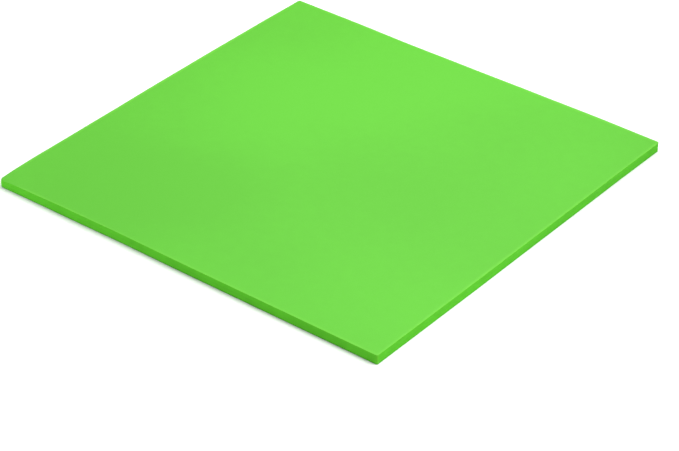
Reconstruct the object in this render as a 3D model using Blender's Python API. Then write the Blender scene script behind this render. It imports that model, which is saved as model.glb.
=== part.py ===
"""A craft foam sheet: one square of closed-cell foam, cut by a blade from a larger sheet.

The sheet lies flat. The origin is under its middle, on the surface that it lies on. +Z is up,
X runs along its length and Y across its width. The blade came down from above, so it drew the
upper skin over the cut in a soft round and left the lower edge crisp.
"""

import bmesh
import bpy

# Driving dimensions, in metres
SHEET_LENGTH = 0.305
SHEET_WIDTH = 0.305
SHEET_THICKNESS = 0.00635
CORNER_RADIUS = 0.0012
UPPER_ARRIS_RADIUS = 0.0005
LOWER_ARRIS_RADIUS = 0.0002

# How finely the rounds are cut into flats
CORNER_FLATS = 6
ARRIS_FLATS = 4

# An edge or face counts as level or upright within this share of a unit vector
ALIGNED = 0.999

# The finish of the foam: a leaf green, matte all over
FOAM_COLOUR = (0.19, 0.71, 0.08, 1.0)
FOAM_ROUGHNESS = 0.75


def clear_scene():
    """Removes whatever the file was opened with."""
    for old in list(bpy.data.objects):
        bpy.data.objects.remove(old)


def foam_material():
    """Matte green foam."""
    material = bpy.data.materials.new("green_foam")
    material.use_nodes = True
    surface = material.node_tree.nodes["Principled BSDF"]
    surface.inputs["Base Color"].default_value = FOAM_COLOUR
    surface.inputs["Roughness"].default_value = FOAM_ROUGHNESS
    surface.inputs["Metallic"].default_value = 0.0
    return material


def upright_edges(bm):
    """The edges that run straight up, at the four corners of the plan."""
    found = []
    for edge in bm.edges:
        run = (edge.verts[1].co - edge.verts[0].co).normalized()
        if abs(run.z) > ALIGNED:
            found.append(edge)
    return found


def rim_edges(bm, facing):
    """The edges round the level face whose normal points up, facing 1, or down, facing -1."""
    level = [face for face in bm.faces if face.normal.z * facing > ALIGNED]
    return list({edge for face in level for edge in face.edges})


def round_off(bm, edges, radius, flats):
    """Turns each of these square edges into a round of this radius."""
    bmesh.ops.bevel(
        bm,
        geom=edges,
        offset=radius,
        offset_type="OFFSET",
        segments=flats,
        profile=0.5,
        affect="EDGES",
        clamp_overlap=True,
        material=-1,
    )
    bm.normal_update()


def foam_sheet(material):
    """The sheet: a square block, rounded at its corners, then along its upper and lower rims."""
    bm = bmesh.new()
    bmesh.ops.create_cube(bm, size=1.0)
    bmesh.ops.scale(bm, vec=(SHEET_LENGTH, SHEET_WIDTH, SHEET_THICKNESS), verts=bm.verts)
    bmesh.ops.translate(bm, vec=(0.0, 0.0, SHEET_THICKNESS / 2), verts=bm.verts)
    bm.normal_update()
    round_off(bm, upright_edges(bm), CORNER_RADIUS, CORNER_FLATS)
    round_off(bm, rim_edges(bm, 1), UPPER_ARRIS_RADIUS, ARRIS_FLATS)
    round_off(bm, rim_edges(bm, -1), LOWER_ARRIS_RADIUS, ARRIS_FLATS)

    mesh = bpy.data.meshes.new("foam_sheet")
    bm.to_mesh(mesh)
    bm.free()
    mesh.materials.append(material)
    sheet = bpy.data.objects.new("foam_sheet", mesh)
    bpy.context.scene.collection.objects.link(sheet)
    return sheet


def main():
    clear_scene()
    foam_sheet(foam_material())


main()
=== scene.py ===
# %% [markdown]
# Dressing a craft foam sheet.
# The real object is one square of green closed-cell foam, the kind that is cut up and glued to
# make shapes. A block of foam was sliced into thin sheets, and a blade then cut this square out
# of one of them. So it is a single piece, with two broad sliced faces and four narrow cut sides.
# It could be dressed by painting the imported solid, but that solid has ruler-straight edges and
# dead flat faces, which foam never has. A finer piece takes its place here, and everything about
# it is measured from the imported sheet, which this first cell loads.

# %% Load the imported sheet
import math

import bmesh
import bpy
from mathutils import Matrix, Vector, noise


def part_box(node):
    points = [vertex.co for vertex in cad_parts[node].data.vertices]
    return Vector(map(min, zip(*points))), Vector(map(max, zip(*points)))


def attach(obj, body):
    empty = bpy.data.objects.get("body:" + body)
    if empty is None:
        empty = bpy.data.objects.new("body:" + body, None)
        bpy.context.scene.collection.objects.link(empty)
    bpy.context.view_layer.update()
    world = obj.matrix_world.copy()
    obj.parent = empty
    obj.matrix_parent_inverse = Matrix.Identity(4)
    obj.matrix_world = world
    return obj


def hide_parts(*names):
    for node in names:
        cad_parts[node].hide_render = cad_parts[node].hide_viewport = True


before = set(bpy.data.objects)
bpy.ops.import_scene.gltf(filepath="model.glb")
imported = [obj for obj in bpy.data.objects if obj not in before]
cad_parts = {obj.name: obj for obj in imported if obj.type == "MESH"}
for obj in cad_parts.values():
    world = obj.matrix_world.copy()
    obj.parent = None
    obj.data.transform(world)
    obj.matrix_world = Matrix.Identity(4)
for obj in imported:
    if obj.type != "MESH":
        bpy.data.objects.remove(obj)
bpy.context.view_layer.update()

MM = 0.001
SHEET_NODE = "foam_sheet"
SHEET_LOW, SHEET_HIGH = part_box(SHEET_NODE)
SHEET_SIZE = SHEET_HIGH - SHEET_LOW
HALF_LENGTH = SHEET_SIZE.x / 2
HALF_WIDTH = SHEET_SIZE.y / 2
THICKNESS = SHEET_SIZE.z
print("packed sheet, mm:", [round(side / MM, 2) for side in SHEET_SIZE])

# %% [markdown]
# The camera looks down on one corner of the sheet, from a third of the way up.
# A long lens from well back keeps the opposite sides nearly parallel, as in a catalogue picture.
# A Track To constraint could aim it, but then the aim would live outside the script's numbers.
# Two angles, a distance and a target say the same thing once, and the camera's own matrix takes
# them: first its back is turned towards the viewer's side, and then it is rolled a little,
# because the picture was not taken quite level.

# %% Set up the camera
CAMERA_AZIMUTH = math.radians(37.60)
CAMERA_ELEVATION = math.radians(33.64)
CAMERA_ROLL = math.radians(0.906)
CAMERA_DISTANCE = 1.6689
CAMERA_TARGET = Vector((0.0448, -0.0513, 0.0006))
CAMERA_LENS = 140.5
CAMERA_SENSOR = 36.0


def direction_from(azimuth, elevation):
    """The unit vector towards an onlooker at this azimuth round from -Y, and this elevation."""
    level = math.cos(elevation)
    return Vector((math.sin(azimuth) * level, -math.cos(azimuth) * level, math.sin(elevation)))


def add_camera():
    """A long lens on the sheet's near corner, with no depth of field."""
    camera = bpy.data.objects.new("camera", bpy.data.cameras.new("camera"))
    camera.data.lens = CAMERA_LENS
    camera.data.sensor_width = CAMERA_SENSOR
    back = direction_from(CAMERA_AZIMUTH, CAMERA_ELEVATION)
    level_turn = back.to_track_quat("Z", "Y").to_matrix().to_4x4()
    turn = level_turn @ Matrix.Rotation(CAMERA_ROLL, 4, "Z")
    camera.matrix_world = Matrix.Translation(CAMERA_TARGET + back * CAMERA_DISTANCE) @ turn
    bpy.context.scene.collection.objects.link(camera)
    bpy.context.scene.camera = camera
    return camera


camera = add_camera()
print("camera at, m:", [round(value, 3) for value in camera.matrix_world.translation])

# %% [markdown]
# The sheet starts as a slab of cells.
# Foam bends and dents by fractions of a millimetre all over, so its faces need vertices to move.
# A scaled cube has none in the middle. Subdividing a cube evenly would spend as many on the
# low sides as on the broad faces. So a grid of 5 mm cells is drawn first and extruded to the
# sheet's thickness, which makes a closed slab whose sides can be cut finer later on.

# %% Lay out the slab
SKIN_CELL = 5 * MM
HALF_OF_ONE = 0.5


def slab_of_cells(low, high, cell):
    """A closed slab between two corners, with a grid of square cells on its broad faces."""
    size = high - low
    bm = bmesh.new()
    across = round(size.x / cell)
    along = round(size.y / cell)
    bmesh.ops.create_grid(bm, x_segments=across, y_segments=along, size=HALF_OF_ONE)
    bmesh.ops.scale(bm, vec=(size.x, size.y, 1.0), verts=bm.verts)
    bmesh.ops.translate(bm, vec=(low.x + size.x / 2, low.y + size.y / 2, low.z), verts=bm.verts)
    raised = bmesh.ops.extrude_face_region(bm, geom=bm.faces[:])
    upper = [item for item in raised["geom"] if isinstance(item, bmesh.types.BMVert)]
    bmesh.ops.translate(bm, vec=(0.0, 0.0, size.z), verts=upper)
    bmesh.ops.recalc_face_normals(bm, faces=bm.faces[:])
    bm.normal_update()
    return bm


bm = slab_of_cells(SHEET_LOW, SHEET_HIGH, SKIN_CELL)
print("slab:", len(bm.faces), "faces")

# %% [markdown]
# A cut sheet has no knife-sharp corner.
# The four upright corners are slightly round, and not equally: the one that is picked up most is
# the softest. Along the upper rim the blade dragged the skin down with it, so that edge is a small
# round that catches the light, while the lower rim, where the blade came out, is crisper. A Bevel
# modifier would give every edge one width. The bevel operator takes each corner and each rim by
# itself, with a radius of its own.

# %% Round the corners and the rims
UPPER_RIM_ROUND = 0.3 * MM
LOWER_RIM_ROUND = 0.2 * MM
CORNER_FLATS = 6
RIM_FLATS = 4
TOUCHING = 0.01 * MM
ALIGNED = 0.999

# Each corner is named by its side along X and along Y, with the radius of its round in plan
CORNER_ROUNDS = {
    (1, -1): 1.2 * MM,
    (1, 1): 1.8 * MM,
    (-1, 1): 1.4 * MM,
    (-1, -1): 3.3 * MM,
}


def upright_at(bm, side_x, side_y):
    """The upright edge at one corner of the plan."""
    corner = Vector((side_x * HALF_LENGTH, side_y * HALF_WIDTH))
    at_corner = []
    for edge in bm.edges:
        if all((vert.co.xy - corner).length < TOUCHING for vert in edge.verts):
            at_corner.append(edge)
    return at_corner


def rim_of(bm, facing):
    """The edges where the cut sides meet the upper face, for 1, or the lower face, for -1."""
    found = []
    for edge in bm.edges:
        tilts = sorted(face.normal.z * facing for face in edge.link_faces)
        if tilts[-1] > ALIGNED and abs(tilts[0]) < 1 - ALIGNED:
            found.append(edge)
    return found


def round_off(bm, edges, radius, flats):
    """Turns these square edges into rounds of this radius."""
    bmesh.ops.bevel(
        bm,
        geom=edges,
        offset=radius,
        offset_type="OFFSET",
        segments=flats,
        profile=0.5,
        affect="EDGES",
        clamp_overlap=True,
        material=-1,
    )
    bm.normal_update()


for (side_x, side_y), radius in CORNER_ROUNDS.items():
    round_off(bm, upright_at(bm, side_x, side_y), radius, CORNER_FLATS)
round_off(bm, rim_of(bm, 1), UPPER_RIM_ROUND, RIM_FLATS)
round_off(bm, rim_of(bm, -1), LOWER_RIM_ROUND, RIM_FLATS)
print("rounded slab:", len(bm.faces), "faces")

# %% [markdown]
# The cut sides need a finer mesh than the faces.
# They carry the marks of the blade and the torn cells, which are half a millimetre across. First
# a narrow band is inset along the border of each broad face, so that the smooth shading of the
# round stops there and doesn't spread over a whole 5 mm cell. Then the upright edges of the sides
# are cut into rows and the edges that run along the rims into short lengths. The operator splits
# the cells next to them by itself, so the piece stays closed.

# %% Cut the sides into fine cells
RIM_BAND = 0.5 * MM
SIDE_ROWS = 12
SIDE_CUTS_PER_CELL = 10
SHORTEST_TO_CUT = 2 * RIM_BAND


def inset_band(bm, facing, width):
    """A narrow band of faces along the border of the upper or lower face."""
    broad = [face for face in bm.faces if face.normal.z * facing > ALIGNED]
    bmesh.ops.inset_region(bm, faces=broad, thickness=width, use_even_offset=True)


def depth_in(place):
    """How far inside the nearest cut side a place is."""
    return min(HALF_LENGTH - abs(place.x), HALF_WIDTH - abs(place.y))


def is_upright(edge):
    """Whether an edge is one of the tall ones of the cut sides."""
    run = edge.verts[1].co - edge.verts[0].co
    return abs(run.z) > THICKNESS / 2


def runs_along_rim(edge):
    """Whether an edge runs along a side, on it or on the round or the band beside it."""
    run = edge.verts[1].co - edge.verts[0].co
    reach = max(UPPER_RIM_ROUND, LOWER_RIM_ROUND) + RIM_BAND + TOUCHING
    beside = all(depth_in(vert.co) < reach for vert in edge.verts)
    return beside and abs(run.z) < TOUCHING and run.length > SHORTEST_TO_CUT


def subdivide(bm, edges, cuts):
    """Cuts each of these edges into equal lengths, and the faces beside them with it."""
    bmesh.ops.subdivide_edges(bm, edges=edges, cuts=cuts, use_grid_fill=True)
    bm.normal_update()


inset_band(bm, 1, RIM_BAND)
inset_band(bm, -1, RIM_BAND)
subdivide(bm, [edge for edge in bm.edges if is_upright(edge)], SIDE_ROWS - 1)
subdivide(bm, [edge for edge in bm.edges if runs_along_rim(edge)], SIDE_CUTS_PER_CELL - 1)
print("finer slab:", len(bm.verts), "vertices")
print("closed:", all(len(edge.link_faces) == 2 for edge in bm.edges))

# %% [markdown]
# The blade leaves its own surface on the four cut sides.
# Foam is squeezed as the blade goes through and springs back, so the side ends up slightly
# hollow and leans out at the foot. Faint lines run along it where the blade dragged, and the
# cells that it opened leave it rough. A bump texture alone would leave the outline of the side
# straight, so the hollow, the lean, the lines and the larger cells are real moves along each
# vertex's normal, and only what is finer than the mesh is left to the material.

# %% Mark the cut sides
HOLLOW_DEPTH = 0.07 * MM
LEAN_DEPTH = 0.05 * MM
LINE_DEPTH = 0.05 * MM
LINE_HEIGHT = 0.9 * MM
LINE_LENGTH = 45 * MM
CELL_DEPTH = 0.05 * MM
CELL_WIDTH = 1.1 * MM


def blade_move(place, normal):
    """How far a cut side is set back here."""
    height = place.z / THICKNESS
    hollow = HOLLOW_DEPTH * math.sin(math.pi * min(max(height, 0.0), 1.0))
    lean = LEAN_DEPTH * height
    stretched = Vector((place.x / LINE_LENGTH, place.y / LINE_LENGTH, place.z / LINE_HEIGHT))
    line = LINE_DEPTH * noise.noise(stretched)
    cell = CELL_DEPTH * noise.noise(place / CELL_WIDTH)
    uprightness = 1 - abs(normal.z)
    return (hollow + lean + line + cell) * uprightness


def mark_sides(bm):
    """Sets each vertex of the cut sides back along its own normal."""
    moves = [blade_move(vert.co, vert.normal) for vert in bm.verts]
    for vert, move in zip(bm.verts, moves):
        vert.co = vert.co - vert.normal * move
    bm.normal_update()


mark_sides(bm)
print("cut sides marked")

# %% [markdown]
# Foam is never quite flat.
# The sheet is stiff enough to lie on a table by itself, but it rises and sinks by a fraction of a
# millimetre, and it swells a little past the thickness that it was sliced to. A cloth simulation
# would make it limp, and a Displace modifier could only push along one direction at a time. So
# this cell and the next two each hold small moves, written as plain functions of where a vertex
# is, and the cell after them adds the moves up.

# %% The slow waves and the swell
SWELL = 0.25 * MM
WAVE_LENGTH = 90 * MM
WAVE_LIFT = 0.2 * MM
WAVE_SEED = Vector((3.7, 1.9, 0.4))


def rise_and_swell(place):
    """The slow rise and fall of the whole sheet, and the swell of its upper face."""
    wave = noise.noise(Vector((place.x, place.y, 0.0)) / WAVE_LENGTH + WAVE_SEED)
    swell = SWELL * place.z / THICKNESS
    return Vector((0.0, 0.0, WAVE_LIFT * (0.5 + 0.5 * wave) + swell))


print("swell, mm:", round(SWELL / MM, 2), "waves up to, mm:", round(WAVE_LIFT / MM, 2))

# %% [markdown]
# One corner shows that hands pick the sheet up there.
# The foam is pressed thinner around it, the edge of its upper face is rolled down, and the side
# below the roll bulges. Sculpting would do this by eye, and a Lattice would need a cage that is
# finer than the round itself. Two moves do it here. One sinks the upper face over a few
# centimetres, and the other works on the last few millimetres before the round outline. Both
# fade out on a smooth ramp, so neither ends in a crease.

# %% The pressed corner
PRESSED_CORNER = Vector((-HALF_LENGTH, -HALF_WIDTH))
PRESSED_ROUND = CORNER_ROUNDS[(-1, -1)]
PRESS_LENGTH = 60 * MM
PRESS_WIDTH = 36 * MM
PRESS_FULL_WITHIN = 0.35
PRESS_DEPTH = 0.65 * MM
ROLL_LENGTH = 16 * MM
ROLL_WIDTH = 3.0 * MM
ROLL_DEPTH = 0.9 * MM
BULGE_DEPTH = 0.5 * MM


def ease(value, start, end):
    """0 at start, 1 at end, with a smooth ramp between them."""
    share = min(max((value - start) / (end - start), 0.0), 1.0)
    return share * share * (3 - 2 * share)


def press_corner(place):
    """The upper face sinks towards the corner that is picked up, and the lower face stays."""
    from_corner = place.xy - PRESSED_CORNER
    away = math.hypot(from_corner.x / PRESS_LENGTH, from_corner.y / PRESS_WIDTH)
    pressed = 1 - ease(away, PRESS_FULL_WITHIN, 1.0)
    return Vector((0.0, 0.0, -PRESS_DEPTH * pressed * place.z / THICKNESS))


def depth_at_round(place):
    """How far a place is inside the round outline of the pressed corner, up to its radius."""
    from_corner = place.xy - PRESSED_CORNER
    short_x = max(PRESSED_ROUND - from_corner.x, 0.0)
    short_y = max(PRESSED_ROUND - from_corner.y, 0.0)
    return PRESSED_ROUND - math.hypot(short_x, short_y)


def roll_edge(place):
    """At that corner the edge of the upper face is rolled down, and the side bulges under it."""
    near = 1 - ease((place.xy - PRESSED_CORNER).length, 0.0, ROLL_LENGTH)
    outer = max(1 - depth_at_round(place) / ROLL_WIDTH, 0.0)
    height = min(max(place.z / THICKNESS, 0.0), 1.0)
    bulge = BULGE_DEPTH * math.sin(math.pi * height)
    away = PRESSED_CORNER.normalized() * bulge
    return Vector((away.x, away.y, -ROLL_DEPTH * height)) * near * outer**2


print("pressed corner, mm:", [round(value / MM, 1) for value in PRESSED_CORNER])

# %% [markdown]
# No side of a cut sheet is ruler-straight.
# The foam gave way under the blade, so each side wanders by up to a millimetre. A noise would
# make the sides wander too, but not as the real ones do. In Edit Mode one would pull them into
# line here and there with proportional editing, and this cell does just that in code. Seven
# places along each side get a distance, a smooth ramp joins one place to the next, and the foam
# behind the side goes along less and less.

# %% The lines of the four sides
SIDE_LINE_REACH = 40 * MM

# How far each side stands out from straight, in tenths of a millimetre, at evenly spaced places
# from its end at -X or -Y to its end at +X or +Y. Each side is named by the way that it faces.
TENTH = 0.1 * MM
SIDE_LINES = {
    (-1, 0): (6.5, 1.8, 4.0, 8.0, 7.5, 3.0, -4.0),
    (0, 1): (4.0, 5.5, -1.0, 2.5, 7.5, 10.0, 3.5),
    (0, -1): (4.0, 0.0, -3.2, 0.8, 0.8, 1.2, 1.2),
    (1, 0): (-2.5, -0.6, 0.8, -0.2, -0.4, -1.5, 1.5),
}


def stand_out(line, share):
    """How far a side stands out at a share of its length, eased between the places on its line."""
    at = min(max(share, 0.0), 1.0) * (len(line) - 1)
    step = min(int(at), len(line) - 2)
    blend = ease(at, step, step + 1)
    return (line[step] * (1 - blend) + line[step + 1] * blend) * TENTH


def bow_sides(place):
    """Each side follows its own line, and what lies behind it goes along less and less."""
    moved = Vector((0.0, 0.0, 0.0))
    for (facing_x, facing_y), line in SIDE_LINES.items():
        outward = Vector((facing_x, facing_y, 0.0))
        half_across = HALF_LENGTH if facing_x else HALF_WIDTH
        half_along = HALF_WIDTH if facing_x else HALF_LENGTH
        along = place.y if facing_x else place.x
        near = 1 - ease(half_across - place.dot(outward), 0.0, SIDE_LINE_REACH)
        moved += outward * (stand_out(line, 0.5 + 0.5 * along / half_along) * near)
    return moved


print("sides with a line of their own:", len(SIDE_LINES))

# %% [markdown]
# Now the sheet settles.
# Each move could be kept as a shape key with a slider, but a finished piece has no use for one.
# Every move is worked out from where the vertex was before any of them, so their order doesn't
# matter, and their sum is written straight into the mesh.

# %% Let the sheet settle
def settle(bm):
    """Moves every vertex by the sum of these small moves, all worked out where it was."""
    for vert in bm.verts:
        place = vert.co.copy()
        vert.co = place + rise_and_swell(place) + bow_sides(place)
        vert.co += press_corner(place) + roll_edge(place)
    bm.normal_update()


settle(bm)
print("settled sheet, top at mm:", round(max(vert.co.z for vert in bm.verts) / MM, 3))

# %% [markdown]
# The bmesh becomes an object.
# It stands at the origin, unturned and unscaled, with its place in its mesh, so that a pattern on
# Object coordinates is read on the mesh's own coordinates. Each face is given to
# the skin or to the cut side by how it is tilted. The piece rides on the only body and stands for
# the imported solid, which is hidden. It is solid foam all through.

# %% Make the sheet's object
SKIN_SLOT = 0
CUT_SLOT = 1
SKIN_TILT = 0.7
MILLILITRES = 1e6


def object_from(bm, name):
    """A smooth-shaded object from a bmesh, with its faces sorted into the two finishes."""
    for face in bm.faces:
        face.smooth = True
        face.material_index = SKIN_SLOT if abs(face.normal.z) > SKIN_TILT else CUT_SLOT
    mesh = bpy.data.meshes.new(name)
    bm.to_mesh(mesh)
    piece = bpy.data.objects.new(name, mesh)
    bpy.context.scene.collection.objects.link(piece)
    return piece


sheet = object_from(bm, "green_foam_sheet")
triangles = sum(len(face.verts) - 2 for face in bm.faces)
print("sheet:", triangles, "triangles, volume in ml:", round(bm.calc_volume() * MILLILITRES, 1))
bm.free()
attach(sheet, "root")
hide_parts(SHEET_NODE)

# %% [markdown]
# Both finishes are built from a few shader nodes each.
# They could be drawn by hand in the Shader Editor. In a script, a few small helpers keep the
# wiring readable. One adds a node and sets its values by the names that the editor shows, and
# another joins an output to inputs. Mixing colours, remapping a value and working out a sum come
# up again and again, so each has a helper of its own.

# %% Helpers for nodes
MIX_FACTOR = 0
MIX_FIRST = 6
MIX_SECOND = 7
MIX_COLOUR = 2


def add_node(tree, kind, values=None, **settings):
    """Adds a shader node, with its settings and the values of its input sockets."""
    made = tree.nodes.new(kind)
    for name, value in settings.items():
        setattr(made, name, value)
    for name, value in (values or {}).items():
        made.inputs[name].default_value = value
    return made


def join(tree, output, *inputs):
    """Wires an output to each of these inputs."""
    for socket in inputs:
        tree.links.new(output, socket)


def mix_colours(tree, factor, first, second, blend="MIX"):
    """A mix of two colours, where each may be a colour or another node's output."""
    mixer = add_node(tree, "ShaderNodeMix", data_type="RGBA", blend_type=blend)
    for index, value in ((MIX_FACTOR, factor), (MIX_FIRST, first), (MIX_SECOND, second)):
        if isinstance(value, bpy.types.NodeSocket):
            join(tree, value, mixer.inputs[index])
        else:
            mixer.inputs[index].default_value = value
    return mixer.outputs[MIX_COLOUR]


def remap(tree, value, from_range, to_range):
    """A value stretched smoothly from one range to another."""
    mapped = add_node(
        tree,
        "ShaderNodeMapRange",
        {
            "From Min": from_range[0],
            "From Max": from_range[1],
            "To Min": to_range[0],
            "To Max": to_range[1],
        },
        interpolation_type="SMOOTHSTEP",
    )
    join(tree, value, mapped.inputs["Value"])
    return mapped.outputs["Result"]


def calculate(tree, operation, first, second):
    """One sum on two values, where each may be a number or another node's output."""
    sum_node = add_node(tree, "ShaderNodeMath", operation=operation)
    for index, value in enumerate((first, second)):
        if isinstance(value, bpy.types.NodeSocket):
            join(tree, value, sum_node.inputs[index])
        else:
            sum_node.inputs[index].default_value = value
    return sum_node.outputs["Value"]


print("node helpers ready")

# %% [markdown]
# Cells, colour clouds and a pale rim are on the skin and on the cut side alike.
# They could be copied from one material to the other, but then a change would have to be made
# twice. So each is a node group, which is built once with named inputs and outputs. Each material
# places it with values of its own. One helper opens an empty group, and one places a group.

# %% Helpers for node groups
def new_group(name, inputs, outputs):
    """An empty node group with these named sockets, and its two end nodes."""
    group = bpy.data.node_groups.new(name, "ShaderNodeTree")
    for label, kind in inputs:
        group.interface.new_socket(name=label, in_out="INPUT", socket_type=kind)
    for label, kind in outputs:
        group.interface.new_socket(name=label, in_out="OUTPUT", socket_type=kind)
    start = add_node(group, "NodeGroupInput")
    end = add_node(group, "NodeGroupOutput")
    return group, start, end


def place_group(tree, group, vector, values):
    """A copy of a group in a material, fed with the pattern's coordinates and its own values."""
    placed = add_node(tree, "ShaderNodeGroup", node_tree=group)
    join(tree, vector, placed.inputs["Vector"])
    for name, value in values.items():
        placed.inputs[name].default_value = value
    return placed


print("group helpers ready")

# %% [markdown]
# Closed-cell foam is millions of tiny bubbles.
# On the sliced skin they show as a fine, even pebble, and on the cut side as open pits with pale
# walls between them. A noise texture is too cloudy for that, because bubbles have borders. So the
# group rests on Voronoi cells: the distance to the nearest cell's middle gives the rounded domes,
# the distance to the border gives the walls, and a little noise keeps the domes from being equal.

# %% Group: foam cells
DOME_SOFTNESS = 0.35
FINE_NOISE_SCALE = 3.1
FINE_NOISE_DETAIL = 2.0
FINE_NOISE_SHARE = 0.35
WALL_WIDTH = 0.22


def build_cells_group():
    """Bubbles of a given size, in metres: their domes and their walls, each from 0 to 1."""
    group, start, end = new_group(
        "foam cells",
        [("Vector", "NodeSocketVector"), ("Cell Size", "NodeSocketFloat")],
        [("Domes", "NodeSocketFloat"), ("Walls", "NodeSocketFloat")],
    )
    per_metre = calculate(group, "DIVIDE", 1.0, start.outputs["Cell Size"])
    spread = add_node(group, "ShaderNodeVectorMath", operation="SCALE")
    join(group, start.outputs["Vector"], spread.inputs["Vector"])
    join(group, per_metre, spread.inputs["Scale"])
    middles = add_node(
        group,
        "ShaderNodeTexVoronoi",
        {"Scale": 1.0, "Smoothness": DOME_SOFTNESS},
        feature="SMOOTH_F1",
    )
    borders = add_node(
        group, "ShaderNodeTexVoronoi", {"Scale": 1.0}, feature="DISTANCE_TO_EDGE"
    )
    fine = add_node(
        group, "ShaderNodeTexNoise", {"Scale": FINE_NOISE_SCALE, "Detail": FINE_NOISE_DETAIL}
    )
    join(
        group,
        spread.outputs["Vector"],
        middles.inputs["Vector"],
        borders.inputs["Vector"],
        fine.inputs["Vector"],
    )
    domes = remap(group, middles.outputs["Distance"], (0.0, 1.0), (1.0, 0.0))
    uneven = calculate(group, "MULTIPLY", fine.outputs["Fac"], FINE_NOISE_SHARE)
    join(group, calculate(group, "ADD", domes, uneven), end.inputs["Domes"])
    walls = remap(group, borders.outputs["Distance"], (0.0, WALL_WIDTH), (1.0, 0.0))
    join(group, walls, end.inputs["Walls"])
    return group


cells_group = build_cells_group()
print("built", cells_group.name)

# %% [markdown]
# No sheet of foam has one flat colour.
# The dye mixes a little unevenly, so the green drifts over a hand's breadth, and the cells scatter
# light into a finer speckle. One noise could do one of the two. The group lays a slow noise
# under a quicker one, and each material says how large its clouds are. On the skin the slow clouds
# are partly painted light too: their paler and darker patches carry some of the uneven light on
# the face.

# %% Group: colour clouds
CLOUD_DETAIL = 1.0
SPECKLE_RATIO = 24.0
SPECKLE_DETAIL = 3.0
SPECKLE_SHARE = 0.2
CLOUD_RANGE = (0.32, 0.68)


def build_clouds_group():
    """Slow clouds with a fine speckle over them, from 0 to 1."""
    group, start, end = new_group(
        "colour clouds",
        [("Vector", "NodeSocketVector"), ("Cloud Size", "NodeSocketFloat")],
        [("Cloud", "NodeSocketFloat")],
    )
    per_metre = calculate(group, "DIVIDE", 1.0, start.outputs["Cloud Size"])
    slow = add_node(group, "ShaderNodeTexNoise", {"Detail": CLOUD_DETAIL})
    quick = add_node(group, "ShaderNodeTexNoise", {"Detail": SPECKLE_DETAIL})
    join(group, start.outputs["Vector"], slow.inputs["Vector"], quick.inputs["Vector"])
    join(group, per_metre, slow.inputs["Scale"])
    join(group, calculate(group, "MULTIPLY", per_metre, SPECKLE_RATIO), quick.inputs["Scale"])
    clouds = calculate(group, "MULTIPLY", slow.outputs["Fac"], 1.0 - SPECKLE_SHARE)
    speckle = calculate(group, "MULTIPLY", quick.outputs["Fac"], SPECKLE_SHARE)
    both = calculate(group, "ADD", clouds, speckle)
    join(group, remap(group, both, CLOUD_RANGE, (0.0, 1.0)), end.inputs["Cloud"])
    return group


clouds_group = build_clouds_group()
print("built", clouds_group.name)

# %% [markdown]
# The upper rim and the upright corners get a painted highlight.
# Their small rounds catch the light, so a thin line along them is painted paler to stand for that
# light, and a noise breaks it into patches. It could be painted by a vertex attribute, but a mask
# worked out from the place costs nothing and stays sharp. It is strongest where two planes meet,
# the top and a side for the rim or two sides for a corner, and it fades over a given reach on
# both. The skin and the cut side share it, so their colours meet in the rim without a line. Where
# the edge was rolled over, at the pressed corner, it catches no line of light, so the painted line
# fades out.

# %% Group: painted rim highlight
RIM_NOISE_SCALE = 260.0
RIM_NOISE_RANGE = (0.25, 0.75)
RIM_NOISE_FADE = (0.65, 1.0)
CORNER_REACH = 2.4 * MM
CORNER_SHARE = 0.45
ROLLED_CORNER = (*PRESSED_CORNER, THICKNESS)
ROLLED_FADE = (9 * MM, 26 * MM)


def build_rim_highlight_group():
    """Masks of the upper rim and of the upright corners, from 1 on them to 0 at their reach."""
    group, start, end = new_group(
        "painted rim highlight",
        [("Vector", "NodeSocketVector"), ("Reach", "NodeSocketFloat")],
        [("Rim", "NodeSocketFloat"), ("Corner", "NodeSocketFloat")],
    )
    axes = add_node(group, "ShaderNodeSeparateXYZ")
    patches = add_node(group, "ShaderNodeTexNoise", {"Scale": RIM_NOISE_SCALE})
    join(group, start.outputs["Vector"], axes.inputs["Vector"], patches.inputs["Vector"])
    from_ends = calculate(
        group,
        "SUBTRACT",
        HALF_LENGTH,
        calculate(group, "ABSOLUTE", axes.outputs["X"], 0.0),
    )
    from_sides = calculate(
        group,
        "SUBTRACT",
        HALF_WIDTH,
        calculate(group, "ABSOLUTE", axes.outputs["Y"], 0.0),
    )
    inside = calculate(group, "MINIMUM", from_ends, from_sides)
    below = calculate(group, "SUBTRACT", THICKNESS + SWELL, axes.outputs["Z"])
    away = calculate(group, "MAXIMUM", inside, below)
    shares = calculate(group, "DIVIDE", away, start.outputs["Reach"])
    line = remap(group, shares, (0.0, 1.0), (1.0, 0.0))
    patchy = remap(group, patches.outputs["Fac"], RIM_NOISE_RANGE, RIM_NOISE_FADE)
    to_rolled = add_node(group, "ShaderNodeVectorMath", operation="DISTANCE")
    to_rolled.inputs[1].default_value = ROLLED_CORNER
    join(group, start.outputs["Vector"], to_rolled.inputs[0])
    drawn = remap(group, to_rolled.outputs["Value"], ROLLED_FADE, (0.0, 1.0))
    unrolled_line = calculate(group, "MULTIPLY", line, drawn)
    join(group, calculate(group, "MULTIPLY", unrolled_line, patchy), end.inputs["Rim"])
    from_corner = calculate(group, "MAXIMUM", from_ends, from_sides)
    corner = remap(group, from_corner, (0.0, CORNER_REACH), (CORNER_SHARE, 0.0))
    join(group, corner, end.inputs["Corner"])
    return group


rim_highlight_group = build_rim_highlight_group()
print("built", rim_highlight_group.name)

# %% [markdown]
# Both finishes start from the same foam.
# The material is one all through, so its way of bending light is the same inside and out. The
# patterns are read on Object coordinates, which need no unwrapping and carry on unbroken from
# the faces into the sides. A Mapping node turns and shifts them a little, so that no row of cells
# runs along a side and the clouds lie where the real sheet is paler and darker. On the skin those
# patches are partly light falling unevenly on it, so there the clouds are partly painted light.
# The relief that is finer than the mesh comes from a Bump node, because a displaced mesh would
# need millions of faces.

# %% The start of a foam finish
FOAM_IOR = 1.45
PATTERN_TURN = (0.0, 0.0, math.radians(12))
PATTERN_SHIFT = (1.48, -0.89, -1.40)


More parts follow.
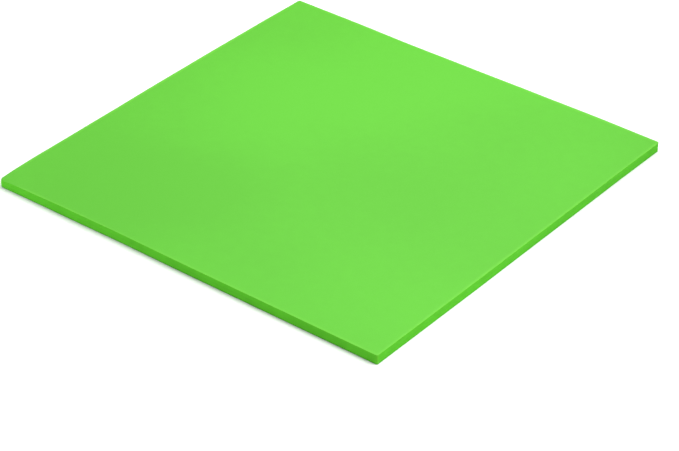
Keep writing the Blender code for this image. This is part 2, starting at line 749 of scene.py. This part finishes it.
def foam_surface(name):
    """A new material with its shader, and the pattern's coordinates on the piece."""
    material = bpy.data.materials.new(name)
    material.use_nodes = True
    tree = material.node_tree
    shader = tree.nodes["Principled BSDF"]
    shader.inputs["IOR"].default_value = FOAM_IOR
    coordinates = add_node(tree, "ShaderNodeTexCoord")
    turned = add_node(
        tree, "ShaderNodeMapping", {"Location": PATTERN_SHIFT, "Rotation": PATTERN_TURN}
    )
    join(tree, coordinates.outputs["Object"], turned.inputs["Vector"])
    return material, tree, shader, coordinates.outputs["Object"], turned.outputs["Vector"]


def raise_bump(tree, shader, height, strength, depth):
    """Feeds a height to the shader's normal, as a bump of a given depth in metres."""
    bump = add_node(tree, "ShaderNodeBump", {"Strength": strength, "Distance": depth})
    join(tree, height, bump.inputs["Height"])
    join(tree, bump.outputs["Normal"], shader.inputs["Normal"])


print("ready to build the finishes")

# %% [markdown]
# The sliced skin is dry and bright.
# It is a leaf green with hardly any gloss, but at a low angle it gives back a little of the white
# of the room, as every fine powdery surface does. A purely rough surface misses that, so the
# shader gets a touch of sheen. The colour goes between two greens by the clouds, the cells make a
# pebble far finer than the mesh in the bump, and the rim mask blends in the paler green of a
# painted highlight along the rim.

# %% Material: foam skin
DEEP_SKIN = (0.088, 0.435, 0.0168, 1.0)
PALE_SKIN = (0.096, 0.478, 0.0192, 1.0)
# The paler green of the painted highlight along the rims, for the light that their rounds catch
RIM_HIGHLIGHT_GREEN = (0.155, 0.575, 0.036, 1.0)
SKIN_CLOUD_SIZE = 170 * MM
SKIN_CELL_SIZE = 0.45 * MM
SKIN_WALL_TINT = (0.93, 0.95, 0.93, 1.0)
SKIN_WALL_SHARE = 0.4
SKIN_RIM_REACH = 2.5 * MM
SKIN_RIM_SHARE = 0.55
SKIN_ROUGHNESS = (0.56, 0.70)
SKIN_PEBBLE_DEPTH = 0.03 * MM
SKIN_PEBBLE_STRENGTH = 0.5
SKIN_SHEEN = 0.06
SKIN_SHEEN_ROUGHNESS = 0.5


def build_skin():
    """The broad faces, where the block of foam was sliced."""
    material, tree, shader, place, turned = foam_surface("foam_skin")
    shader.inputs["Sheen Weight"].default_value = SKIN_SHEEN
    shader.inputs["Sheen Roughness"].default_value = SKIN_SHEEN_ROUGHNESS
    cells = place_group(tree, cells_group, turned, {"Cell Size": SKIN_CELL_SIZE})
    clouds = place_group(tree, clouds_group, turned, {"Cloud Size": SKIN_CLOUD_SIZE})
    rim = place_group(tree, rim_highlight_group, place, {"Reach": SKIN_RIM_REACH})
    # Partly painted light: the two greens are mixed by clouds that also carry the uneven light on
    # the face
    green = mix_colours(tree, clouds.outputs["Cloud"], DEEP_SKIN, PALE_SKIN)
    in_walls = calculate(tree, "MULTIPLY", cells.outputs["Walls"], SKIN_WALL_SHARE)
    celled = mix_colours(tree, in_walls, green, SKIN_WALL_TINT, "MULTIPLY")
    # Painted highlight: a paler green along the upper rim stands for the light that its round
    # catches
    on_rim = calculate(tree, "MULTIPLY", rim.outputs["Rim"], SKIN_RIM_SHARE)
    join(tree, mix_colours(tree, on_rim, celled, RIM_HIGHLIGHT_GREEN), shader.inputs["Base Color"])
    dryness = remap(tree, cells.outputs["Domes"], (0.0, 1.0), SKIN_ROUGHNESS)
    join(tree, dryness, shader.inputs["Roughness"])
    raise_bump(tree, shader, cells.outputs["Domes"], SKIN_PEBBLE_STRENGTH, SKIN_PEBBLE_DEPTH)
    return material


skin = build_skin()
print("built", skin.name)

# %% [markdown]
# The cut side is deeper in colour and rougher.
# Light that enters an open cell bounces inside it before it comes out, so the green is purer
# there and no gloss is left. Part of that purer green is painted bounce light, which stands for
# the green light thrown onto the sides from beneath. The same cells are used a little larger, with
# round pits between pale walls, and the pits are tinted darker as painted shade inside the open
# cells. The blade's drag shows as faint streaks along the side. They could be a wave texture, but
# its bands are too regular. Noise that is stretched along the sheet and squeezed through its
# thickness gives streaks that come and go. The lowest millimetre is painted darker, as a contact
# shadow at the foot.

# %% Material: foam cut side
# Partly painted bounce light: this green is purer and brighter than the skin's, standing in part
# for green light thrown onto the sides from beneath
DEEP_CUT = (0.087, 0.487, 0.013, 1.0)
PALE_CUT = (0.0945, 0.523, 0.0153, 1.0)
# Painted shade: the tint that darkens the middles of the open cells
PIT_SHADE_TINT = (0.76, 0.84, 0.66, 1.0)
CUT_CLOUD_SIZE = 16 * MM
CUT_CELL_SIZE = 0.5 * MM
CUT_PIT_SHADE_SHARE = 0.45
CUT_RIM_REACH = 0.5 * MM
CUT_RIM_SHARE = 0.25
# Painted contact shadow: the lowest millimetre of the cut side is tinted darker
FOOT_SHADE_REACH = 0.8 * MM
FOOT_SHADE_TINT = (0.45, 0.58, 0.40, 1.0)
CUT_ROUGHNESS = (0.78, 0.92)
CUT_SPECULAR = 0.25
CUT_BUMP_DEPTH = 0.1 * MM
CUT_BUMP_STRENGTH = 0.6
STREAK_STRETCH = (22.0, 22.0, 900.0)
STREAK_DETAIL = 3.0
STREAK_RANGE = (0.35, 0.65)
STREAK_TINT = (0.84, 0.88, 0.80, 1.0)
STREAK_SHARE = 0.4


def build_cut():
    """The narrow sides, where the blade went through the sheet."""
    material, tree, shader, place, turned = foam_surface("foam_cut_side")
    shader.inputs["Specular IOR Level"].default_value = CUT_SPECULAR
    cells = place_group(tree, cells_group, turned, {"Cell Size": CUT_CELL_SIZE})
    clouds = place_group(tree, clouds_group, turned, {"Cloud Size": CUT_CLOUD_SIZE})
    rim = place_group(tree, rim_highlight_group, place, {"Reach": CUT_RIM_REACH})
    stretched = add_node(tree, "ShaderNodeMapping", {"Scale": STREAK_STRETCH})
    join(tree, place, stretched.inputs["Vector"])
    drag = add_node(tree, "ShaderNodeTexNoise", {"Scale": 1.0, "Detail": STREAK_DETAIL})
    join(tree, stretched.outputs["Vector"], drag.inputs["Vector"])
    streaks = remap(tree, drag.outputs["Fac"], STREAK_RANGE, (0.0, STREAK_SHARE))
    green = mix_colours(tree, clouds.outputs["Cloud"], DEEP_CUT, PALE_CUT)
    streaked = mix_colours(tree, streaks, green, STREAK_TINT, "MULTIPLY")
    # Painted shade: the open cells are tinted darker, for the shade inside them
    pit_shade = remap(tree, cells.outputs["Walls"], (0.0, 1.0), (CUT_PIT_SHADE_SHARE, 0.0))
    pit_shaded = mix_colours(tree, pit_shade, streaked, PIT_SHADE_TINT, "MULTIPLY")
    axes = add_node(tree, "ShaderNodeSeparateXYZ")
    join(tree, place, axes.inputs["Vector"])
    # Painted contact shadow: darker towards the foot of the cut side
    foot_shade = remap(tree, axes.outputs["Z"], (0.0, FOOT_SHADE_REACH), (1.0, 0.0))
    foot_shaded = mix_colours(tree, foot_shade, pit_shaded, FOOT_SHADE_TINT, "MULTIPLY")
    # Painted highlight: a paler green along the upper rim and the upright corners stands for the
    # light that their rounds catch
    on_upper_rim = calculate(tree, "MULTIPLY", rim.outputs["Rim"], CUT_RIM_SHARE)
    on_rim = calculate(tree, "MAXIMUM", on_upper_rim, rim.outputs["Corner"])
    join(tree, mix_colours(tree, on_rim, foot_shaded, RIM_HIGHLIGHT_GREEN), shader.inputs["Base Color"])
    dryness = remap(tree, cells.outputs["Walls"], (0.0, 1.0), CUT_ROUGHNESS)
    join(tree, dryness, shader.inputs["Roughness"])
    hollows = calculate(tree, "SUBTRACT", 1.0, cells.outputs["Domes"])
    relief = calculate(tree, "SUBTRACT", hollows, streaks)
    raise_bump(tree, shader, relief, CUT_BUMP_STRENGTH, CUT_BUMP_DEPTH)
    return material


cut_side = build_cut()
sheet.data.materials.append(skin)
sheet.data.materials.append(cut_side)
print("built", cut_side.name)

# %% [markdown]
# The stage is a plain pale floor.
# The picture shows the sheet on white, so the floor is nearly white and dull, and large enough
# that its end is never in view. It lies a hair under the sheet, because two faces in one plane
# would flicker.

# %% Lay the floor
FLOOR_HALF = 30.0
FLOOR_GAP = 0.1 * MM
FLOOR_COLOUR = (0.955, 0.955, 0.955, 1.0)
FLOOR_ROUGHNESS = 0.9
FLOOR_SPECULAR = 0.0


def add_floor():
    """One large pale square just under the sheet."""
    bm = bmesh.new()
    bmesh.ops.create_grid(bm, x_segments=1, y_segments=1, size=FLOOR_HALF)
    bmesh.ops.translate(bm, vec=(0.0, 0.0, SHEET_LOW.z - FLOOR_GAP), verts=bm.verts)
    mesh = bpy.data.meshes.new("floor")
    bm.to_mesh(mesh)
    bm.free()
    material = bpy.data.materials.new("pale_floor")
    material.use_nodes = True
    shader = material.node_tree.nodes["Principled BSDF"]
    shader.inputs["Base Color"].default_value = FLOOR_COLOUR
    shader.inputs["Roughness"].default_value = FLOOR_ROUGHNESS
    shader.inputs["Specular IOR Level"].default_value = FLOOR_SPECULAR
    mesh.materials.append(material)
    floor = bpy.data.objects.new("floor", mesh)
    bpy.context.scene.collection.objects.link(floor)
    return floor


add_floor()
print("floor laid")

# %% [markdown]
# The room is white all round.
# It fills the shadows, as white studio walls do. One background would have to be bright enough to
# look white and weak enough to leave some shadow, which no single value is. The Light Path node
# knows which rays come from the camera, so those see a white backdrop and all others get the
# dimmer light of the room.

# %% Make the room white
ROOM_STRENGTH = 0.35
BACKDROP_STRENGTH = 1.0
ROOM_COLOUR = (1.0, 1.0, 1.0, 1.0)
LIGHTING_SOCKET = 1
BACKDROP_SOCKET = 2


def add_room():
    """An even white room: one brightness lights the sheet, another shows as the backdrop."""
    world = bpy.data.worlds.new("white_room")
    world.use_nodes = True
    tree = world.node_tree
    lighting = tree.nodes["Background"]
    lighting.inputs["Color"].default_value = ROOM_COLOUR
    lighting.inputs["Strength"].default_value = ROOM_STRENGTH
    backdrop = add_node(
        tree, "ShaderNodeBackground", {"Color": ROOM_COLOUR, "Strength": BACKDROP_STRENGTH}
    )
    ray = add_node(tree, "ShaderNodeLightPath")
    chosen = add_node(tree, "ShaderNodeMixShader")
    join(tree, ray.outputs["Is Camera Ray"], chosen.inputs["Fac"])
    join(tree, lighting.outputs["Background"], chosen.inputs[LIGHTING_SOCKET])
    join(tree, backdrop.outputs["Background"], chosen.inputs[BACKDROP_SOCKET])
    join(tree, chosen.outputs["Shader"], tree.nodes["World Output"].inputs["Surface"])
    bpy.context.scene.world = world


add_room()
print("room strength:", ROOM_STRENGTH)

# %% [markdown]
# The light is plain and soft.
# Two suns give most of it. A sun in Blender lights everything alike, near or far, so the floor
# stays evenly white from every side, which no lamp could do. Both are as wide as a studio's soft
# box, so their shadows are soft too. One stands straight above, and the other comes from behind
# on the right and lights the right cut side. Four weak lamps shape the rest. Two low over the
# back half make the pale pool of light on the face, and one lights the near corner. The fourth
# is close to the floor and grazes the front cut side from its left end. The left corner is
# furthest from the first three, so the face darkens towards it, as it would in a real room.

# %% Light the sheet
SUN_WIDTH = math.radians(40)

# Each sun: the direction that it shines from, and its strength
SUNS = {
    "high_sun": (Vector((0.0, 0.0, 1.0)), 0.96),
    "back_right_sun": (Vector((0.45, 0.5, 0.8)), 1.63),
}

# Each lamp: where it is, where it points, its width and its power in watts
LAMPS = {
    "pool_lamp": (Vector((-0.1, 0.1, 0.35)), Vector((-0.03, 0.03, 0.0)), 0.3, 0.40),
    "back_lamp": (Vector((0.0, 0.3, 0.35)), Vector((0.0, 0.05, 0.0)), 0.3, 0.38),
    "near_lamp": (Vector((0.28, -0.1, 0.3)), Vector((0.11, -0.11, 0.0)), 0.2, 0.39),
    "left_lamp": (Vector((-0.35, -0.4, 0.05)), Vector((-0.12, -0.15, 0.0)), 0.12, 0.57),
}


def add_sun(name, shines_from, strength):
    """A wide soft sun."""
    data = bpy.data.lights.new(name, "SUN")
    data.angle = SUN_WIDTH
    data.energy = strength
    sun = bpy.data.objects.new(name, data)
    sun.matrix_world = shines_from.to_track_quat("Z", "Y").to_matrix().to_4x4()
    bpy.context.scene.collection.objects.link(sun)
    return sun


def add_lamp(name, place, aim, width, power):
    """A round soft lamp that no camera sees."""
    data = bpy.data.lights.new(name, "AREA")
    data.shape = "DISK"
    data.size = width
    data.energy = power
    lamp = bpy.data.objects.new(name, data)
    turn = (place - aim).to_track_quat("Z", "Y").to_matrix().to_4x4()
    lamp.matrix_world = Matrix.Translation(place) @ turn
    lamp.visible_camera = False
    bpy.context.scene.collection.objects.link(lamp)
    return lamp


for sun_name, (shines_from, strength) in SUNS.items():
    add_sun(sun_name, shines_from, strength)
for lamp_name, (place, aim, width, power) in LAMPS.items():
    add_lamp(lamp_name, place, aim, width, power)
bpy.context.scene.view_settings.view_transform = "Standard"
print("lights:", ", ".join([*SUNS, *LAMPS]))

# %% [markdown]
# The last cell brings the scene up to date.
# The box of the imported sheet was kept at the start. Here the view layer is updated, so that
# every object stands where it was placed.

# %% Finish
bpy.context.view_layer.update()
